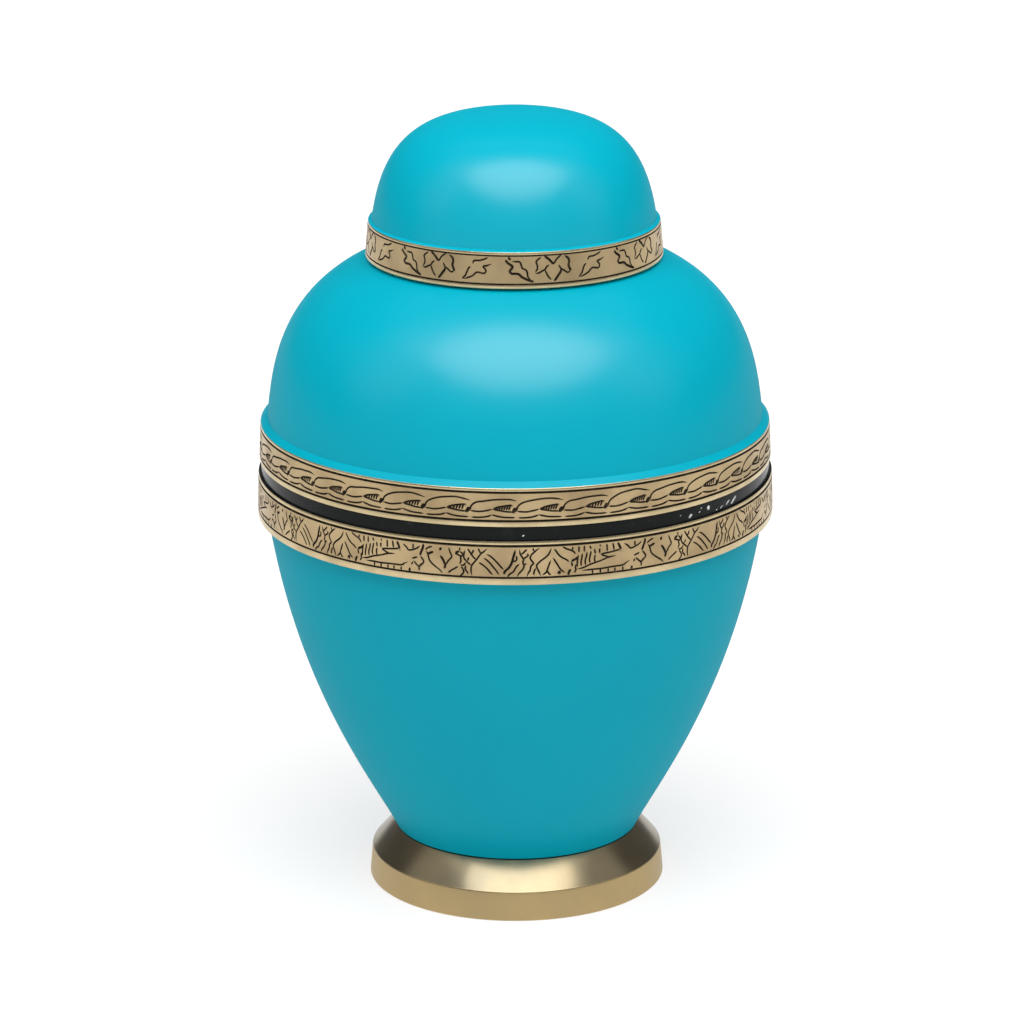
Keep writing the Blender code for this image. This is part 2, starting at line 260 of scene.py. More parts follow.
def smooth_path(points, step):
    """Points along a smooth curve through the given ones, about a step apart."""
    ends = [tuple(2 * a - b for a, b in zip(points[0], points[1]))]
    ends.append(tuple(2 * a - b for a, b in zip(points[-1], points[-2])))
    held = [ends[0], *points, ends[1]]
    path = [points[0]]
    for p0, p1, p2, p3 in zip(held, held[1:], held[2:], held[3:]):
        count = max(1, ceil(hypot(p2[0] - p1[0], p2[1] - p1[1]) / step))
        for index in range(1, count + 1):
            t = index / count
            path.append(tuple(
                0.5 * (2 * b + (c - a) * t + (2 * a - 5 * b + 4 * c - d) * t * t
                       + (3 * b - a - 3 * c + d) * t ** 3)
                for a, b, c, d in zip(p0, p1, p2, p3)))
    return path


class Cut:
    """One stroke of the graver: the points it passes, its width, and which ends it enters blunt."""

    def __init__(self, points, width=FINE_WIDTH, blunt=""):
        self.points = points
        self.width = width
        self.blunt = blunt

    def placed(self, place):
        return Cut([place(*point) for point in self.points], self.width, self.blunt)

    def half_widths(self, path):
        """Half width at each point of the path: nothing at both ends, full in between."""
        run = [0.0]
        for a, b in zip(path, path[1:]):
            run.append(run[-1] + hypot(b[0] - a[0], b[1] - a[1]))
        length = run[-1]
        tapers = [BLUNT_TAPER if end in self.blunt else POINTED_SHARE * length for end in "ab"]
        return [self.width / 2 * min(1.0, at / tapers[0], (length - at) / tapers[1]) ** TAPER_POWER
                for at in run]


def fine(*points):
    return Cut(points)


def heavy(*points):
    return Cut(points, HEAVY_WIDTH, "ab")


def heavy_start(*points):
    return Cut(points, HEAVY_WIDTH, "a")


def heavy_end(*points):
    return Cut(points, HEAVY_WIDTH, "b")


def inside_cuts(at, segments, margin):
    """For each point, how far it lies inside the nearest cut: negative outside, down to -margin."""
    order = numpy.argsort(at[:, 0])
    sorted_x = at[order, 0]
    inside = numpy.full(len(at), -margin)
    for start, end, half_start, half_end in segments:
        reach = max(half_start, half_end) + margin
        window = (min(start[0], end[0]) - reach, max(start[0], end[0]) + reach)
        first, last = numpy.searchsorted(sorted_x, window)
        near = order[first:last]
        run = numpy.subtract(end, start)
        share = numpy.clip((at[near] - start) @ run / (run @ run), 0.0, 1.0)
        away = numpy.linalg.norm(at[near] - start - share[:, None] * run, axis=1)
        half = half_start + share * (half_end - half_start)
        inside[near] = numpy.maximum(inside[near], half - away)
    return inside


def engraved_strip(shape, bottom, top, borders, cuts, finishes, slope=CUT_SLOPE):
    """Face of a band with its cuts, as one strip round the axis.

    bottom and top are the (radius, height) of its edges, borders the heights and widths of the
    lines that run all round, and finishes those of the field, the cuts and the two edge beads.
    Every cut is a V whose outline and deepest line are edges of the mesh.
    """
    field, cut_finish, bead_finish = finishes
    mean_radius = (bottom[0] + top[0]) / 2
    half_turn = pi * mean_radius
    column = radians(COLUMN) * mean_radius
    points, edges, segments = [], [], []

    def line(path):
        first = len(points)
        points.extend(path)
        edges.extend((first + i, first + i + 1) for i in range(len(path) - 1))

    def engrave(path, halves):
        sides = {-1: [], 0: list(path), 1: []}
        for index, (point, half) in enumerate(zip(path, halves)):
            before, after = path[max(index - 1, 0)], path[min(index + 1, len(path) - 1)]
            run = (after[0] - before[0], after[1] - before[1])
            length = hypot(*run)
            for side in (-1, 1):
                sides[side].append((point[0] - side * half * run[1] / length,
                                    point[1] + side * half * run[0] / length))
        for side in sides.values():
            line(side)
        segments.extend(zip(path, path[1:], halves, halves[1:]))

    columns = [-half_turn + column * k for k in range(SIDES + 1)]
    beyond = [columns[0] - column] + columns + [columns[-1] + column]
    for height in (bottom[1], top[1]):
        line([(x, height) for x in columns])
    for x in (-half_turn, half_turn):
        line([(x, bottom[1]), (x, top[1])])
    for height, width in borders:
        engrave([(x, height) for x in beyond], [width / 2] * len(beyond))
    for cut in cuts:
        for whole_turn in (-360, 0, 360):
            path = smooth_path([(radians(angle + whole_turn) * mean_radius, height)
                                for angle, height in cut.points], CUT_STEP)
            if min(abs(x) for x, _ in path) < half_turn + HEAVY_WIDTH:
                engrave(path, cut.half_widths(path))

    heights = [bottom[1], *(height for height, _ in borders), top[1]]
    rows = []
    for low, high in zip(heights, heights[1:]):
        in_bead = bool(borders) and (low == bottom[1] or high == top[1])
        count = BEAD_ROWS if in_bead else round((high - low) / FIELD_ROW)
        rows += [low + (high - low) * k / count for k in range(1, count)]
    grid = numpy.array([(x, z) for x in columns[1:-1] for z in rows])
    keep = inside_cuts(grid, segments, CLEAR_OF_CUT) <= -CLEAR_OF_CUT
    points.extend(tuple(p) for p in grid[keep])

    flat = delaunay_2d_cdt([Vector(p) / MM for p in points], edges, [], 0, SAME_POINT_MM)
    at = numpy.array([tuple(p) for p in flat[0]]) * MM
    depth = slope * numpy.maximum(inside_cuts(at, segments, 0.0), 0.0)
    if borders:
        lowest, highest = borders[0][0], borders[-1][0]
        for low, high in ((bottom[1], lowest), (highest, top[1])):
            across = (2 * at[:, 1] - low - high) / (high - low)
            depth += numpy.where(numpy.abs(across) <= BEAD_EDGE, BEAD_DROP * across ** 2, 0.0)
    share = (at[:, 1] - bottom[1]) / (top[1] - bottom[1])
    radius = bottom[0] + share * (top[0] - bottom[0]) - depth
    angle = at[:, 0] / mean_radius
    corners = [shape.verts.new((r * sin(a), -r * cos(a), z)) for r, a, z in zip(radius, angle, at[:, 1])]

    kept = [face for face in flat[2] if abs(sum(at[i, 0] for i in face)) < len(face) * half_turn]
    middles = numpy.array([at[list(face)].mean(axis=0) for face in kept])
    in_cut = inside_cuts(middles, segments, 0.0) > 0.0
    for face, middle, cut_here in zip(kept, middles, in_cut):
        made = shape.faces.new([corners[i] for i in face])
        in_bead = bool(borders) and not borders[0][0] < middle[1] < borders[-1][0]
        made.material_index = cut_finish if cut_here else bead_finish if in_bead else field


def finished(name, shape, finishes):
    """The named object of a shape whose turned and engraved faces meet edge to edge."""
    open_rims = [corner for corner in shape.verts if corner.is_boundary]
    bmesh.ops.remove_doubles(shape, verts=open_rims, dist=WELD)
    loose = [corner for corner in shape.verts if not corner.link_faces]
    bmesh.ops.delete(shape, geom=loose, context="VERTS")
    bmesh.ops.recalc_face_normals(shape, faces=shape.faces)
    mesh = bpy.data.meshes.new(name)
    shape.to_mesh(mesh)
    shape.free()
    mesh.shade_smooth()
    mesh.set_sharp_from_angle(angle=radians(SHARP_ANGLE))
    for finish in finishes:
        mesh.materials.append(finish)
    piece = bpy.data.objects.new(name, mesh)
    bpy.context.scene.collection.objects.link(piece)
    return piece


def weld_turned(shape):
    """Closes the poles and joins the turned sections, before any fine engraving is there."""
    bmesh.ops.remove_doubles(shape, verts=shape.verts, dist=WELD)


def leaf_motif():
    """Leaf scroll of the wide band, on a grid 48 long and 10 high between the border lines."""
    return [*steep_stems(), *tulip_leaf(), *hatched_gap(), *lance_leaf(), *notch(), *broad_leaf(),
            *net(), *forked_stem()]


def steep_stems():
    return [
        heavy_start((0.0, 1.0), (0.1, 2.0), (1.0, 3.3), (1.6, 5.0), (1.8, 6.2), (2.1, 7.8), (2.3, 9.0)),
        fine((1.7, 5.4), (2.3, 5.3), (2.6, 6.2), (2.35, 7.1)),
        fine((0.6, 0.1), (1.1, 1.2), (1.9, 2.0), (2.2, 2.9), (2.7, 3.9), (3.2, 4.4)),
        fine((2.6, 0.2), (2.95, 1.3), (3.5, 2.2), (3.9, 3.0), (4.05, 4.0), (3.8, 4.9), (3.95, 5.9),
             (3.6, 6.7), (3.3, 7.5), (3.1, 9.1)),
        fine((3.5, 7.4), (4.1, 8.2), (4.7, 9.1)),
        fine((3.9, 6.0), (4.5, 6.6), (4.9, 7.1), (4.7, 7.8)),
        fine((4.05, 4.1), (4.6, 4.6)),
        fine((4.6, 0.2), (4.9, 1.5), (5.3, 2.4), (5.45, 3.7), (6.0, 4.5), (5.65, 5.3), (5.3, 6.2),
             (5.55, 7.2), (6.1, 8.0), (6.7, 8.8), (7.4, 9.4)),
        fine((6.0, 0.8), (6.1, 1.9), (6.4, 3.1)),
        fine((5.9, 9.5), (6.0, 8.3)),
    ]


def tulip_leaf():
    return [
        fine((7.5, 0.3), (7.1, 1.8), (6.7, 3.1), (6.65, 4.0), (7.4, 5.2), (8.25, 6.1), (9.0, 7.1),
             (9.4, 8.2), (9.7, 9.3)),
        fine((7.7, 0.7), (8.5, 1.5), (8.75, 2.2), (8.95, 3.1), (9.3, 4.5), (9.5, 5.4)),
        fine((8.75, 2.2), (9.1, 1.2), (9.6, 0.6)),
        fine((10.0, 6.2), (10.4, 5.1), (10.9, 3.9), (11.4, 2.6), (11.9, 1.8), (12.5, 1.2)),
        heavy((10.8, 1.0), (11.3, 1.5), (11.35, 0.6)),
        fine((10.2, 9.1), (10.7, 8.0), (11.15, 7.0), (11.9, 6.0), (12.7, 5.35), (13.45, 4.4)),
        heavy((13.75, 4.6), (14.2, 5.0), (14.8, 5.35), (15.0, 5.8)),
        fine((13.65, 4.4), (13.95, 3.7), (13.95, 2.9)),
        heavy((13.65, 2.35), (13.25, 1.2), (13.1, 0.3)),
        fine((11.9, 9.5), (12.9, 8.65), (13.85, 8.1), (14.4, 7.5), (14.7, 6.7)),
        fine((14.1, 9.3), (14.1, 8.2)),
        fine((14.7, 3.7), (14.65, 2.7), (14.7, 1.8), (14.3, 0.95)),
    ]


def hatched_gap():
    return [
        fine((15.4, 9.4), (15.4, 7.2)),
        fine((16.55, 9.4), (16.55, 7.2)),
        fine((17.7, 9.3), (18.0, 7.9)),
        fine((18.7, 8.1), (18.9, 6.3)),
        fine((19.9, 9.4), (20.0, 8.4)),
        heavy((20.05, 7.1), (20.2, 6.7)),
        fine((21.35, 9.3), (21.45, 8.1), (21.45, 6.7)),
        fine((22.7, 9.4), (22.9, 7.9), (23.0, 6.9)),
        heavy_end((23.8, 9.3), (24.2, 8.1), (24.55, 6.9)),
        fine((20.0, 6.2), (21.6, 6.4), (23.2, 6.7), (24.5, 7.1)),
        fine((15.3, 6.6), (15.1, 5.2), (15.0, 3.6), (15.1, 2.6)),
        fine((16.1, 7.0), (16.0, 5.6), (15.8, 4.2), (15.9, 2.8)),
        fine((17.1, 7.4), (17.0, 6.0), (16.7, 4.6), (16.8, 3.0)),
        fine((18.0, 7.6), (17.8, 6.2), (17.6, 4.8), (17.8, 3.5)),
        fine((18.9, 6.2), (18.7, 5.0), (18.8, 3.9)),
        fine((19.9, 8.2), (19.8, 7.2), (19.9, 6.4)),
    ]


def lance_leaf():
    rungs = [fine((u, 0.1), (u + 0.05, 1.6)) for u in (18.2, 19.9, 21.6, 23.1, 24.85)]
    return rungs + [
        fine((14.8, 2.0), (16.3, 2.4), (17.7, 3.2), (18.7, 3.6), (20.0, 4.1), (21.7, 4.9), (23.5, 5.2)),
        fine((20.0, 6.1), (20.9, 5.5), (22.0, 4.9)),
        fine((15.8, 1.5), (18.0, 1.6), (20.1, 1.6), (22.6, 1.8), (24.9, 1.9), (25.6, 2.5), (26.6, 3.2)),
    ]


def notch():
    return [
        fine((25.2, 8.8), (26.1, 7.8), (26.7, 6.9), (27.8, 7.3), (28.8, 8.0), (29.3, 8.8)),
        fine((27.7, 9.2), (27.7, 7.4)),
        heavy_end((30.1, 9.5), (30.0, 8.2), (29.6, 6.8), (29.3, 5.6)),
        fine((29.3, 5.6), (29.9, 4.6), (30.2, 3.7), (29.7, 2.8), (29.2, 1.9)),
        fine((27.4, 4.4), (28.2, 4.8), (28.8, 5.1)),
        fine((27.8, 3.75), (28.5, 2.7), (29.1, 1.9), (29.1, 0.6)),
        fine((29.1, 2.0), (29.6, 2.9), (30.1, 3.1)),
        fine((27.7, 3.5), (27.3, 2.3)),
        heavy((27.0, 1.5), (26.8, 0.1)),
        fine((30.5, 7.6), (31.25, 8.4), (32.2, 8.9)),
    ]


def broad_leaf():
    return [
        fine((30.65, 7.5), (31.15, 6.3), (31.45, 4.7), (31.95, 3.7), (33.0, 2.5), (33.9, 1.6), (34.6, 0.5)),
        heavy((31.15, 6.4), (31.85, 6.9), (32.5, 7.2)),
        heavy((33.8, 7.7), (34.2, 8.9)),
        heavy_end((33.9, 6.3), (34.5, 5.2), (34.9, 4.0), (35.1, 3.1), (34.8, 2.1)),
        fine((35.85, 9.1), (36.1, 7.8), (36.55, 6.1), (36.0, 5.2), (35.4, 3.9), (35.1, 3.1)),
        heavy((37.25, 7.3), (38.3, 8.1)),
        fine((38.3, 8.1), (39.0, 7.1), (38.5, 6.1), (38.6, 5.0), (38.2, 3.9)),
        fine((38.3, 9.3), (38.3, 8.2)),
        fine((35.65, 0.9), (36.45, 1.8), (37.25, 2.5), (38.0, 3.2)),
        fine((38.5, 3.3), (39.0, 2.5), (39.2, 1.6), (38.9, 0.8), (38.3, 0.3)),
    ]


def net():
    return [
        fine((40.0, 9.1), (40.5, 8.0), (41.0, 6.9), (41.65, 5.9), (42.0, 5.55)),
        fine((39.5, 8.5), (39.2, 6.9), (39.3, 5.8), (40.0, 4.7), (40.9, 3.6)),
        fine((40.4, 6.4), (40.0, 5.0)),
        fine((41.4, 8.8), (41.1, 7.7), (40.7, 7.2)),
        fine((39.7, 3.7), (39.5, 2.5), (40.0, 1.5), (40.2, 0.8)),
        fine((38.4, 3.8), (39.1, 3.6), (39.7, 4.6)),
        fine((37.2, 7.2), (37.9, 6.9), (38.6, 6.4)),
    ]


def forked_stem():
    return [
        fine((44.4, 9.3), (43.6, 8.2), (42.95, 7.5), (42.05, 5.7), (41.3, 4.4), (40.9, 3.5), (40.8, 2.0),
             (41.0, 0.3)),
        fine((42.45, 9.3), (42.55, 8.5), (42.95, 7.6)),
        fine((44.1, 7.4), (45.0, 6.8), (46.1, 5.4), (47.0, 3.95), (47.95, 2.4)),
        fine((43.5, 6.3), (44.5, 5.2), (45.4, 3.8), (46.3, 2.2), (46.9, 0.85)),
        fine((42.4, 4.8), (43.4, 3.95), (44.4, 2.7), (45.1, 1.5), (45.6, 0.85)),
    ]


def braid_repeat(draw):
    """One strand of the braid and the eye it opens, on a grid 10 long and 10 high."""
    lift = draw.uniform(-0.3, 0.5)
    cuts = [
        Cut([(0.0, 3.9), (0.45, 5.4), (1.4, 6.5), (3.0, 7.1 + lift), (5.0, 7.6 + lift), (7.0, 7.8 + lift),
             (8.8, 7.6), (10.3, 7.0)], FINE_WIDTH, "a"),
        heavy((-1.0, 2.9), (-0.4, 3.4), (0.0, 4.1), (0.3, 4.8)),
        fine((4.9, 4.2), (6.3, 5.0), (8.0, 5.5), (9.3, 5.7)),
        fine((4.9, 4.1), (6.2, 3.8), (7.8, 3.35), (9.4, 3.25)),
        fine((0.0, 3.5), (2.0, 3.25), (3.5, 3.6), (5.0, 4.2)),
        fine((0.3, 1.2), (2.0, 1.2), (3.6, 1.5), (4.9, 2.2)),
        fine((4.6, 2.3), (6.0, 1.7), (7.4, 1.35), (9.9, 1.25)),
        heavy((9.1, 3.3), (9.5, 4.0), (9.8, 4.9)),
    ]
    hatches = draw.choice((5, 6))
    for index in range(hatches):
        foot_u = 5.7 + 3.2 * index / hatches
        cuts.append(Cut([(foot_u, 3.7), (foot_u + 0.5, 5.4 + 0.12 * index)], FINE_WIDTH, "b"))
    return cuts


def lid_motif():
    """Three-lobed leaf between two wavy ones: degrees from its middle, and tenths of the height."""
    return [
        heavy((-18.4, 8.7), (-17.6, 7.6), (-15.7, 6.3), (-16.2, 5.4), (-16.8, 4.6), (-16.0, 3.8),
              (-14.6, 3.8), (-13.2, 3.5), (-12.4, 2.7), (-10.6, 1.8), (-9.2, 1.2), (-7.6, 0.8)),
        heavy((-17.3, 9.6), (-16.5, 8.5)),
        fine((-16.2, 8.1), (-14.2, 8.0), (-13.0, 7.9), (-12.3, 6.5), (-12.0, 5.6), (-10.6, 5.0),
             (-10.1, 3.7), (-9.9, 2.5), (-8.6, 1.3)),
        fine((-7.2, 4.0), (-6.3, 5.4), (-6.4, 6.7), (-6.8, 7.8), (-6.0, 8.6), (-4.6, 9.5)),
        heavy((-3.5, 9.6), (-2.2, 8.8), (-1.0, 7.7), (0.0, 6.6)),
        fine((0.0, 6.6), (1.1, 8.3), (2.4, 9.3), (3.1, 9.7)),
        heavy_end((4.4, 9.5), (5.8, 8.4), (6.2, 7.2), (5.9, 5.9), (6.5, 4.5), (6.7, 3.8)),
        fine((-7.2, 3.9), (-6.0, 3.8), (-4.5, 4.5), (-3.4, 5.0), (-2.7, 6.0), (-1.6, 6.6)),
        fine((6.6, 3.9), (5.4, 3.4), (4.0, 4.3), (2.8, 5.0), (1.9, 6.5)),
        fine((-3.4, 4.9), (-2.8, 3.5), (-2.0, 2.2), (-1.0, 1.2)),
        heavy_start((0.0, 0.7), (0.8, 1.5), (1.9, 2.9), (2.7, 3.9), (2.8, 4.9)),
        fine((9.8, 1.4), (11.2, 2.6), (11.7, 3.7), (12.6, 5.5), (13.5, 5.7)),
        fine((14.0, 6.7), (14.6, 8.0), (16.8, 8.2), (19.1, 8.9), (20.1, 9.5)),
        fine((10.0, 1.4), (11.6, 1.7), (14.1, 2.7), (15.8, 4.0), (18.5, 3.7), (19.2, 4.8), (18.1, 6.1),
             (19.6, 6.5), (21.6, 7.2)),
    ]


def round_the_band(motifs, grid_length, starts, widths, low, high):
    """The cuts of each motif in degrees round the band and metres of height."""
    cuts = []
    for motif, start, width in zip(motifs, starts, widths):
        start -= 360 * round(start / 360)

        def place(u, v):
            return (start + u * width / grid_length, low + v / GRID_HEIGHT * (high - low))

        cuts += [cut.placed(place) for cut in motif]
    return cuts


def band(shape, bottom, top, borders, grid_length, motifs, starts, widths):
    """An engraved brass band: its face between two edges, with beads outside the border lines."""
    low, high = bottom[1] + borders[0][0], top[1] - borders[1][0]
    cuts = round_the_band(motifs, grid_length, starts, widths, low, high)
    lines = ((low, borders[0][1]), (high, borders[1][1]))
    engraved_strip(shape, bottom, top, lines, cuts, (ANTIQUE, BLACKENED, POLISHED))


def beaded(corner):
    """Edge of a band where its bead ends, a little inside the band's face."""
    return (corner[0] - BEAD_DROP, corner[1])


LEAF_BAND_BASE = BOWL_BASE + BOWL_HEIGHT
LEAF_BAND_TOP = LEAF_BAND_BASE + LEAF_BAND_HEIGHT
LEAF_BAND_TOP_RADIUS = LEAF_BAND_RADIUS - LEAF_BAND_TAPER
GROOVE_RADIUS = LEAF_BAND_TOP_RADIUS - GROOVE_SETBACK
SOCKET_RADIUS = GROOVE_RADIUS - WALL
SPIGOT_RADIUS = SOCKET_RADIUS - SLIP_FIT
BRAID_BAND_BASE = GROOVE_RIM + JOINT_GAP
BRAID_BAND_TOP = BRAID_BAND_BASE + BRAID_BAND_HEIGHT
BRAID_BAND_TOP_RADIUS = BRAID_BAND_RADIUS - BRAID_BAND_TAPER
LEDGE_TOP = BRAID_BAND_TOP + LEDGE_RISE
SHOULDER_START = (BRAID_BAND_TOP_RADIUS - LEDGE_WIDTH, LEDGE_TOP)
SHOULDER_CROWN = (0.0, LEDGE_TOP + SHOULDER_RISE)
LID_BAND_TOP = LID_BASE + LID_BAND_HEIGHT
LID_TOP_RADIUS = LID_RADIUS - LID_TAPER
LID_SEAT = LID_BAND_TOP - LID_SHELF_RISE
SKIRT_BORE = LID_TOP_RADIUS - LID_SKIRT_WALL
NECK_RADIUS = SKIRT_BORE - SLIP_FIT


def foot(finish):
    """Turned foot ring: a cone over a nearly upright skirt, hollow and open below."""
    seat_bore = FOOT_TOP_RADIUS - FOOT_SEAT_WIDTH
    rim_bore = FOOT_RADIUS - FOOT_RIM_WIDTH
    shape = bmesh.new()
    corners = [
        (seat_bore, FOOT_TOP),
        (FOOT_TOP_RADIUS, FOOT_TOP),
        (FOOT_EDGE_RADIUS, FOOT_SKIRT_HEIGHT),
        (FOOT_RADIUS, EASE),
        (FOOT_RADIUS - EASE, 0.0),
        (rim_bore, 0.0),
        (rim_bore, FOOT_SKIRT_HEIGHT - WALL),
        (seat_bore, FOOT_TOP - WALL),
        (seat_bore, FOOT_TOP),
    ]
    turn(shape, 0, eased_profile(corners))
    weld_turned(shape)
    return finished("foot_turned", shape, [finish])


def lower_shell(finishes):
    """Lower half shell: bowl, leaf band and the black wall of the groove above it."""
    bowl_top = (LEAF_BAND_RADIUS - BAND_OVERHANG, LEAF_BAND_BASE)
    bowl_end = (FOOT_TOP_RADIUS, BOWL_BASE)
    floor = BOWL_BASE + WALL
    last = share_at(bowl_top, bowl_end, BOWL_HANDLES, 1, floor)
    hollow = inset(curve(bowl_top, bowl_end, BOWL_HANDLES, INSIDE_STEPS, last), WALL)
    hollow[-1] = (hollow[-1][0], floor)
    band_bottom = (LEAF_BAND_RADIUS, LEAF_BAND_BASE)
    band_top = (LEAF_BAND_TOP_RADIUS, LEAF_BAND_TOP)
    socket_floor = SPIGOT_END - JOINT_GAP
    shape = bmesh.new()
    turn(shape, POLISHED, [beaded(band_bottom), bowl_top])
    turn(shape, ENAMEL, curve(bowl_top, bowl_end, BOWL_HANDLES, OUTSIDE_STEPS))
    turn(shape, BARE, [bowl_end, (0.0, BOWL_BASE)])
    turn(shape, GROOVE, [(GROOVE_RADIUS, LEAF_BAND_TOP), beaded(band_top)])
    turn(shape, GROOVE, [(SOCKET_RADIUS, GROOVE_RIM), (GROOVE_RADIUS, GROOVE_RIM)])
    turn(shape, BARE, [(0.0, floor), *hollow[::-1], (SOCKET_RADIUS, socket_floor),
                       (SOCKET_RADIUS, GROOVE_RIM)])
    weld_turned(shape)
    engraved_strip(shape, (GROOVE_RADIUS, LEAF_BAND_TOP), (GROOVE_RADIUS, GROOVE_RIM), (),
                   groove_chips(), (GROOVE, CHIPPED, GROOVE), CHIP_SLOPE)
    rest = (360 - sum(LEAF_FRONT_WIDTHS)) / (LEAF_MOTIFS - len(LEAF_FRONT_WIDTHS))
    widths = [*LEAF_FRONT_WIDTHS, *[rest] * (LEAF_MOTIFS - len(LEAF_FRONT_WIDTHS))]
    starts = [LEAF_FIRST + sum(widths[:index]) for index in range(LEAF_MOTIFS)]
    motifs = [leaf_motif()] * LEAF_MOTIFS
    band(shape, band_bottom, band_top, LEAF_BORDERS, LEAF_GRID, motifs, starts, widths)
    return finished("lower_shell", shape, finishes)


def groove_chips():
    """Chips in the black paint of the groove: a scatter on the right and one speck in front."""
    cuts = []
    for angle, above, length, width in CHIPS:
        reach = degrees(length * MM / GROOVE_RADIUS) / 2
        rise = CHIP_LEAN * length * MM
        height = LEAF_BAND_TOP + above * MM
        path = [(angle - reach, height - rise), (angle, height), (angle + reach, height + rise)]
        cuts.append(Cut(path, width * MM))
    return cuts


def upper_shell(finishes):
    """Upper half shell: braid band, turquoise ledge, shoulder and the neck under the lid."""
    last = share_at(SHOULDER_START, SHOULDER_CROWN, SHOULDER_HANDLES, 0, NECK_RADIUS)
    neck_bore = NECK_RADIUS - WALL
    outside = curve(SHOULDER_START, SHOULDER_CROWN, SHOULDER_HANDLES, OUTSIDE_STEPS, last)
    hollow = inset(curve(SHOULDER_START, SHOULDER_CROWN, SHOULDER_HANDLES, INSIDE_STEPS, last), WALL)
    hollow[-1] = (neck_bore, hollow[-1][1])
    band_bottom = (BRAID_BAND_RADIUS, BRAID_BAND_BASE)
    band_top = (BRAID_BAND_TOP_RADIUS, BRAID_BAND_TOP)
    shape = bmesh.new()
    turn(shape, GROOVE, [beaded(band_bottom), (SPIGOT_RADIUS, BRAID_BAND_BASE)])
    turn(shape, BARE, [(SPIGOT_RADIUS, BRAID_BAND_BASE), (SPIGOT_RADIUS, SPIGOT_END),
                       (SPIGOT_RADIUS - WALL, SPIGOT_END), *hollow, (neck_bore, NECK_TOP),
                       (NECK_RADIUS, NECK_TOP), outside[-1]])
    turn(shape, ENAMEL, [*outside[::-1], beaded(band_top)])
    weld_turned(shape)
    draw = random.Random(BRAID_SEED)
    pitch = 360 / BRAID_REPEATS
    motifs = [braid_repeat(draw) for _ in range(BRAID_REPEATS)]
    starts = [BRAID_FIRST + index * pitch for index in range(BRAID_REPEATS)]
    band(shape, band_bottom, band_top, BRAID_BORDERS, BRAID_GRID, motifs, starts,
         [pitch] * BRAID_REPEATS)
    return finished("upper_shell", shape, finishes)


def lid_shell(finishes):
    """Lid: skirt with the small leaf band, a seat that rests on the neck, and the hollow dome."""
    dome_start = (LID_TOP_RADIUS - LID_SHELF_WIDTH, LID_BAND_TOP + LID_SHELF_RISE)
    outside = curve(dome_start, (0.0, CROWN), DOME_HANDLES, OUTSIDE_STEPS)
    hollow = inset(curve(dome_start, (0.0, CROWN), DOME_HANDLES, INSIDE_STEPS), WALL)
    hollow[-1] = (0.0, CROWN - WALL)
    hollow[0] = (SKIRT_BORE - LID_SEAT_WIDTH, LID_SEAT)
    band_bottom = (LID_RADIUS, LID_BASE)
    band_top = (LID_TOP_RADIUS, LID_BAND_TOP)
    shape = bmesh.new()
    turn(shape, ENAMEL, [*outside[::-1], beaded(band_top)])
    turn(shape, POLISHED, [beaded(band_bottom), (SKIRT_BORE + LID_LEAD_IN, LID_BASE)])
    turn(shape, BARE, [(SKIRT_BORE + LID_LEAD_IN, LID_BASE), (SKIRT_BORE, LID_BASE + LID_LEAD_IN),
                       (SKIRT_BORE, LID_SEAT), *hollow])
    weld_turned(shape)
    pitch = 360 / LID_MOTIFS
    starts = [LID_FIRST + index * pitch for index in range(LID_MOTIFS)]
    band(shape, band_bottom, band_top, LID_BORDERS, LID_GRID, [lid_motif()] * LID_MOTIFS, starts,
         [pitch] * LID_MOTIFS)
    return finished("lid_shell", shape, finishes)


class Signal:
    """A socket of a material's nodes. Arithmetic on it adds the Math nodes."""

    def __init__(self, finish, socket):
        self.finish = finish
        self.socket = socket

    def math(self, operation, *values):
        return self.finish.node("ShaderNodeMath", {"operation": operation}, dict(enumerate(values)))

    def __add__(self, other):
        return self.math("ADD", self, other)

    def __rsub__(self, other):
        return self.math("SUBTRACT", other, self)

    def __mul__(self, other):
        return self.math("MULTIPLY", self, other)

    __radd__ = __add__
    __rmul__ = __mul__

    def root(self):
        return self.math("SQRT", self)

    def between(self, low, high):
        """Rises from 0 to 1 while the signal runs from low to high."""
        return self.finish.node("ShaderNodeMapRange", {"interpolation_type": "SMOOTHSTEP"},
                                {"Value": self, "From Min": low, "From Max": high})


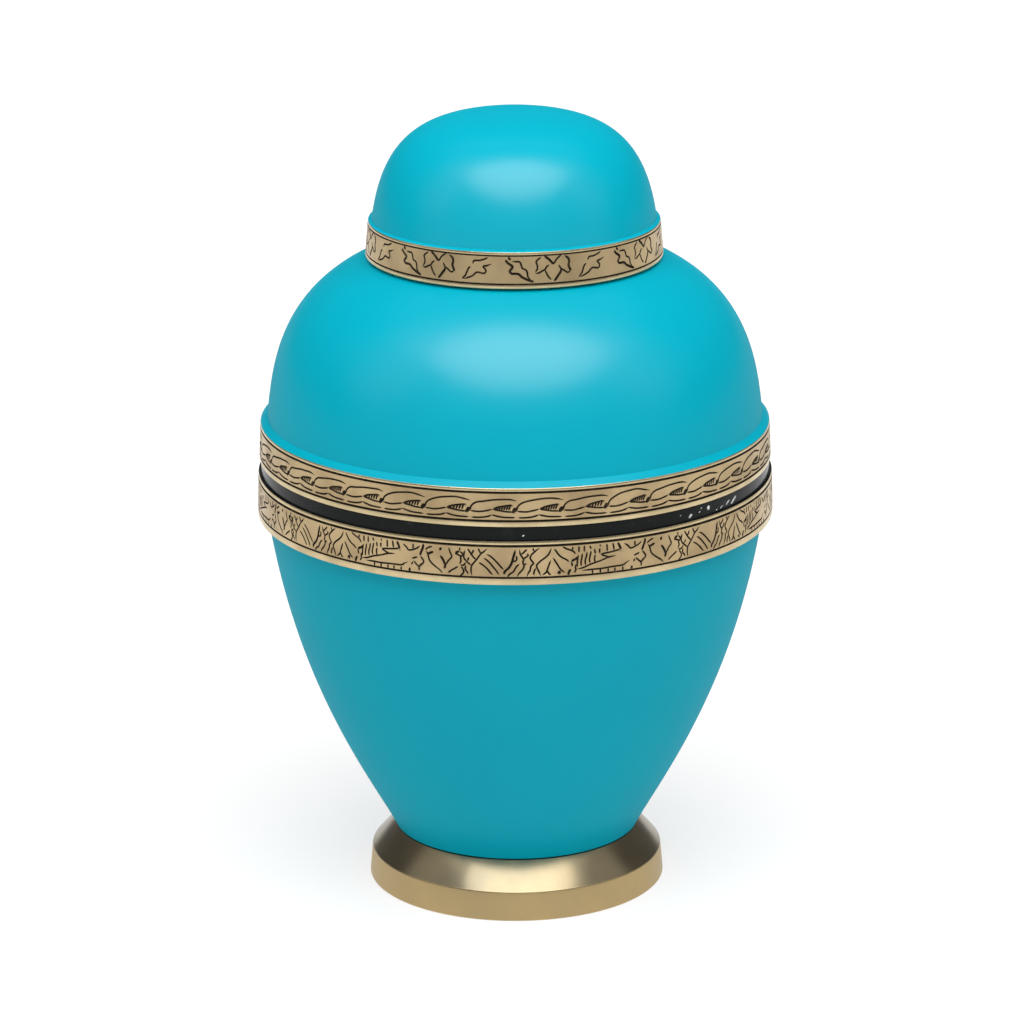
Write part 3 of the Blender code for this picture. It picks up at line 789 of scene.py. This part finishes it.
class Finish:
    """A material of the urn or its stage: one Principled shader and the nodes that vary it."""

    def __init__(self, name, **constants):
        self.material = bpy.data.materials.new(name)
        self.material.use_nodes = True
        self.tree = self.material.node_tree
        self.shader = self.tree.nodes["Principled BSDF"]
        for socket, value in constants.items():
            self.shader.inputs[socket.replace("_", " ")].default_value = value
        self.place = self.node("ShaderNodeTexCoord", {}, {}, "Object")

    def node(self, kind, settings, inputs, output=0):
        """A node of the given kind. Its settings come first, then the values or links of its sockets."""
        made = self.tree.nodes.new(kind)
        for setting, value in settings.items():
            setattr(made, setting, value)
        for key, value in inputs.items():
            if isinstance(value, Signal):
                self.tree.links.new(value.socket, made.inputs[key])
            else:
                made.inputs[key].default_value = value
        return Signal(self, made.outputs[output])

    def feed(self, socket, signal):
        self.tree.links.new(signal.socket, self.shader.inputs[socket])

    def noise(self, scale, detail=2.0, place=None):
        return self.node("ShaderNodeTexNoise", {}, {"Vector": place or self.place, "Scale": scale,
                                                    "Detail": detail})

    def blend(self, share, first, second):
        """Mix of two colours."""
        return self.node("ShaderNodeMix", {"data_type": "RGBA"},
                         {0: share, 6: (*first, 1.0), 7: (*second, 1.0)}, 2)

    def along(self, axis):
        """Place on one axis of the urn's frame, in metres."""
        return self.node("ShaderNodeSeparateXYZ", {}, {"Vector": self.place}, axis)

    def bump(self, height, strength, distance):
        self.feed("Normal", self.node("ShaderNodeBump", {}, {"Height": height, "Strength": strength,
                                                            "Distance": distance}))

    def turning_marks(self, pitch):
        """Fine rings left by the lathe: noise that changes with radius and height alone."""
        x, y, z = (self.along(axis) for axis in "XYZ")
        rings = self.node("ShaderNodeCombineXYZ", {}, {"X": (x * x + y * y).root(), "Z": z})
        return self.noise(1 / pitch, 3.0, rings)


# Colours of the finishes, linear red, green and blue, at the two ends of each finish's own pattern.
# The foot's are those of its cone and its skirt: the cone's darkened as painted shade against its
# reflection of the key light, the skirt's lightened as painted light.
ENAMEL_COLOURS = ((0.0, 0.318, 0.420), (0.0, 0.334, 0.440))
ANTIQUE_COLOURS = ((0.51, 0.385, 0.215), (0.39, 0.285, 0.155))
POLISHED_COLOURS = ((0.62, 0.50, 0.30), (0.51, 0.41, 0.235))
FOOT_SHADED_AND_LIT_COLOURS = ((0.195, 0.170, 0.115), (0.52, 0.380, 0.185))
CUT_COLOURS = ((0.014, 0.009, 0.004), (0.06, 0.042, 0.02))
GROOVE_COLOURS = ((0.006, 0.007, 0.007), (0.03, 0.03, 0.031))
CHIP_COLOURS = ((0.30, 0.31, 0.32), (0.80, 0.82, 0.84))
BARE_COLOURS = ((0.52, 0.41, 0.24), (0.36, 0.27, 0.15))

# Gloss of the enamel: thin low on the urn and where the surface turns away, fuller elsewhere
GLOSS_THIN = 0.14
GLOSS_ADDED = 0.41
GLOSS_STARTS = 168 * MM
GLOSS_FULL = 194 * MM

# The foot's roughness and its painted light and shade change from cone to skirt over this much above and
# below the skirt's edge
SKIRT_BLEND = 0.5 * MM


def turquoise_enamel():
    finish = Finish("turquoise_paint", Specular_IOR_Level=0.0, Coat_Roughness=0.28, Coat_IOR=1.62)
    cloud = finish.noise(scale=9.0).between(low=0.3, high=0.7)
    finish.feed("Base Color", finish.blend(cloud, *ENAMEL_COLOURS))
    finish.feed("Roughness", 0.47 + 0.06 * finish.noise(scale=60.0))
    facing = finish.node("ShaderNodeLayerWeight", {}, {"Blend": 0.5}, "Facing")
    away = facing.between(low=0.12, high=0.34)
    upper = finish.along("Z").between(GLOSS_STARTS, GLOSS_FULL)
    finish.feed("Coat Weight", GLOSS_THIN + GLOSS_ADDED * upper * (1 - away))
    finish.bump(finish.noise(scale=900.0, detail=1.0), strength=0.05, distance=0.02 * MM)
    return finish.material


def antique_brass():
    finish = Finish("antique_brass", Metallic=1.0)
    tarnish = finish.noise(scale=70.0, detail=5.0).between(low=0.35, high=0.75)
    finish.feed("Base Color", finish.blend(tarnish, *ANTIQUE_COLOURS))
    finish.feed("Roughness", 0.33 + 0.10 * tarnish)
    finish.bump(finish.turning_marks(pitch=0.12 * MM), strength=0.10, distance=0.03 * MM)
    return finish.material


def polished_brass():
    finish = Finish("polished_brass", Metallic=1.0)
    handled = finish.noise(scale=90.0, detail=4.0).between(low=0.3, high=0.7)
    finish.feed("Base Color", finish.blend(handled, *POLISHED_COLOURS))
    finish.feed("Roughness", 0.25 + 0.08 * handled)
    finish.bump(finish.turning_marks(pitch=0.15 * MM), strength=0.08, distance=0.03 * MM)
    return finish.material


def turned_brass():
    """Brass of the foot: a polished cone over a duller skirt, with the cone's colour darkened as painted
    shade and the skirt's lightened as painted light.
    """
    finish = Finish("turned_brass", Metallic=1.0)
    handled = finish.noise(scale=45.0, detail=4.0).between(low=0.3, high=0.7)
    skirt = finish.along("Z").between(FOOT_SKIRT_HEIGHT + SKIRT_BLEND, FOOT_SKIRT_HEIGHT - SKIRT_BLEND)
    # Base colour: the skirt share paints the skirt lighter and the cone darker, as painted light and shade;
    # the noise adds random wear
    finish.feed("Base Color", finish.blend(0.2 * handled + 0.8 * skirt, *FOOT_SHADED_AND_LIT_COLOURS))
    finish.feed("Roughness", 0.19 + 0.05 * handled + 0.22 * skirt)
    finish.bump(finish.turning_marks(pitch=0.18 * MM), strength=0.12, distance=0.04 * MM)
    return finish.material


def blackened_cut():
    finish = Finish("blackened_cut", Roughness=0.7, Specular_IOR_Level=0.15)
    worn = finish.noise(scale=260.0, detail=3.0).between(low=0.5, high=0.75)
    finish.feed("Base Color", finish.blend(worn, *CUT_COLOURS))
    return finish.material


def groove_black():
    finish = Finish("groove_black", Specular_IOR_Level=0.1)
    dust = finish.noise(scale=160.0, detail=5.0).between(low=0.55, high=0.9)
    finish.feed("Base Color", finish.blend(dust, *GROOVE_COLOURS))
    finish.feed("Roughness", 0.2 + 0.12 * dust)
    return finish.material


def chipped_paint():
    finish = Finish("chipped_paint", Metallic=0.6, Roughness=0.5)
    grain = finish.noise(scale=1500.0, detail=3.0).between(low=0.35, high=0.65)
    finish.feed("Base Color", finish.blend(grain, *CHIP_COLOURS))
    return finish.material


def bare_brass():
    finish = Finish("bare_brass", Metallic=1.0)
    stained = finish.noise(scale=30.0, detail=5.0).between(low=0.3, high=0.75)
    finish.feed("Base Color", finish.blend(stained, *BARE_COLOURS))
    finish.feed("Roughness", 0.40 + 0.12 * stained)
    finish.bump(finish.turning_marks(pitch=0.6 * MM), strength=0.3, distance=0.08 * MM)
    return finish.material


# Camera: it stands where the photograph's outline and rings put it, and SENSOR is in millimetres
CAMERA_AWAY = 1.520
CAMERA_HEIGHT = 0.5930
CAMERA_DOWN = 16.9726
CAMERA_ROLL = -0.2322
FOCAL_PIXELS = 4670.7
IMAGE_PIXELS = 1024
AXIS_PIXELS = 3.5
SENSOR = 36.0

# Floor and sky: the floor glows, most of all from FLOOR_BEHIND metres behind the urn's middle
FLOOR_RADIUS = 8.0
FLOOR_SIDES = 96
FLOOR_DROP = 0.05 * MM
FLOOR_BEHIND = 1.0
FLOOR_COLOUR = (0.35, 0.35, 0.35, 1.0)
FLOOR_GLOWS = ((0.62, 0.62, 0.62), (0.72, 0.72, 0.72))
SKY_COLOUR = (1.0, 1.0, 1.0, 1.0)
SKY_STRENGTH = 0.2


def camera():
    data = bpy.data.cameras.new("camera")
    data.sensor_width = SENSOR
    data.lens = FOCAL_PIXELS / IMAGE_PIXELS * SENSOR
    made = bpy.data.objects.new("camera", data)
    bpy.context.scene.collection.objects.link(made)
    turn_left = Matrix.Rotation(atan(AXIS_PIXELS / FOCAL_PIXELS), 4, "Z")
    tip_down = Matrix.Rotation(radians(90 - CAMERA_DOWN), 4, "X")
    roll = Matrix.Rotation(radians(CAMERA_ROLL), 4, "Z")
    made.matrix_world = Matrix.Translation((0, -CAMERA_AWAY, CAMERA_HEIGHT)) @ turn_left @ tip_down @ roll
    bpy.context.scene.camera = made


def softbox(name, azimuth, elevation, away, width, height, radiance):
    """An oval soft light that faces the middle of the urn from the given direction, in degrees."""
    data = bpy.data.lights.new(name, "AREA")
    data.shape = "ELLIPSE"
    data.size, data.size_y = width, height
    data.energy = radiance * pi * (pi / 4 * width * height)
    made = bpy.data.objects.new(name, data)
    bpy.context.scene.collection.objects.link(made)
    a, e = radians(azimuth), radians(elevation)
    towards = Vector((sin(a) * cos(e), -cos(a) * cos(e), sin(e)))
    middle = Vector((0, 0, CROWN / 2))
    turned = towards.to_track_quat("Z", "Y").to_matrix().to_4x4()
    made.matrix_world = Matrix.Translation(middle + towards * away) @ turned


def pale_floor():
    finish = Finish("pale_floor", Base_Color=FLOOR_COLOUR, Roughness=0.9, Emission_Strength=1.0)
    behind = finish.along("Y").between(0.0, FLOOR_BEHIND)
    finish.feed("Emission Color", finish.blend(behind, *FLOOR_GLOWS))
    return finish.material


def stage():
    shape = bmesh.new()
    bmesh.ops.create_circle(shape, cap_ends=True, segments=FLOOR_SIDES, radius=FLOOR_RADIUS,
                            matrix=Matrix.Translation((0, 0, -FLOOR_DROP)))
    mesh = bpy.data.meshes.new("floor")
    shape.to_mesh(mesh)
    shape.free()
    mesh.materials.append(pale_floor())
    floor = bpy.data.objects.new("floor", mesh)
    bpy.context.scene.collection.objects.link(floor)

    softbox("key", azimuth=4, elevation=62, away=3.2, width=4.2, height=3.4, radiance=3.4)
    softbox("middle of the key", azimuth=4, elevation=60, away=3.1, width=2.7, height=2.1, radiance=0.6)
    softbox("top", azimuth=0, elevation=89, away=3.0, width=5.0, height=5.0, radiance=0.92)
    softbox("left", azimuth=-80, elevation=35, away=3.0, width=2.5, height=2.5, radiance=0.52)
    softbox("right", azimuth=80, elevation=35, away=3.0, width=2.5, height=2.5, radiance=0.50)
    world = bpy.data.worlds.new("studio")
    world.use_nodes = True
    background = world.node_tree.nodes["Background"]
    background.inputs["Color"].default_value = SKY_COLOUR
    background.inputs["Strength"].default_value = SKY_STRENGTH
    bpy.context.scene.world = world
    bpy.context.scene.view_settings.view_transform = "Standard"


def main():
    camera()
    stage()
    finishes = [turquoise_enamel(), antique_brass(), polished_brass(), blackened_cut(), groove_black(),
                chipped_paint(), bare_brass()]
    pieces = (
        (foot(turned_brass()), "foot", "brass"),
        (lower_shell(finishes), "lower_body", "turquoise_enamel"),
        (upper_shell(finishes), "upper_body", "turquoise_enamel"),
        (lid_shell(finishes), "lid", "turquoise_enamel"),
    )
    for piece, node, slot in pieces:
        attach(piece, "root")
        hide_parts(node)


main()
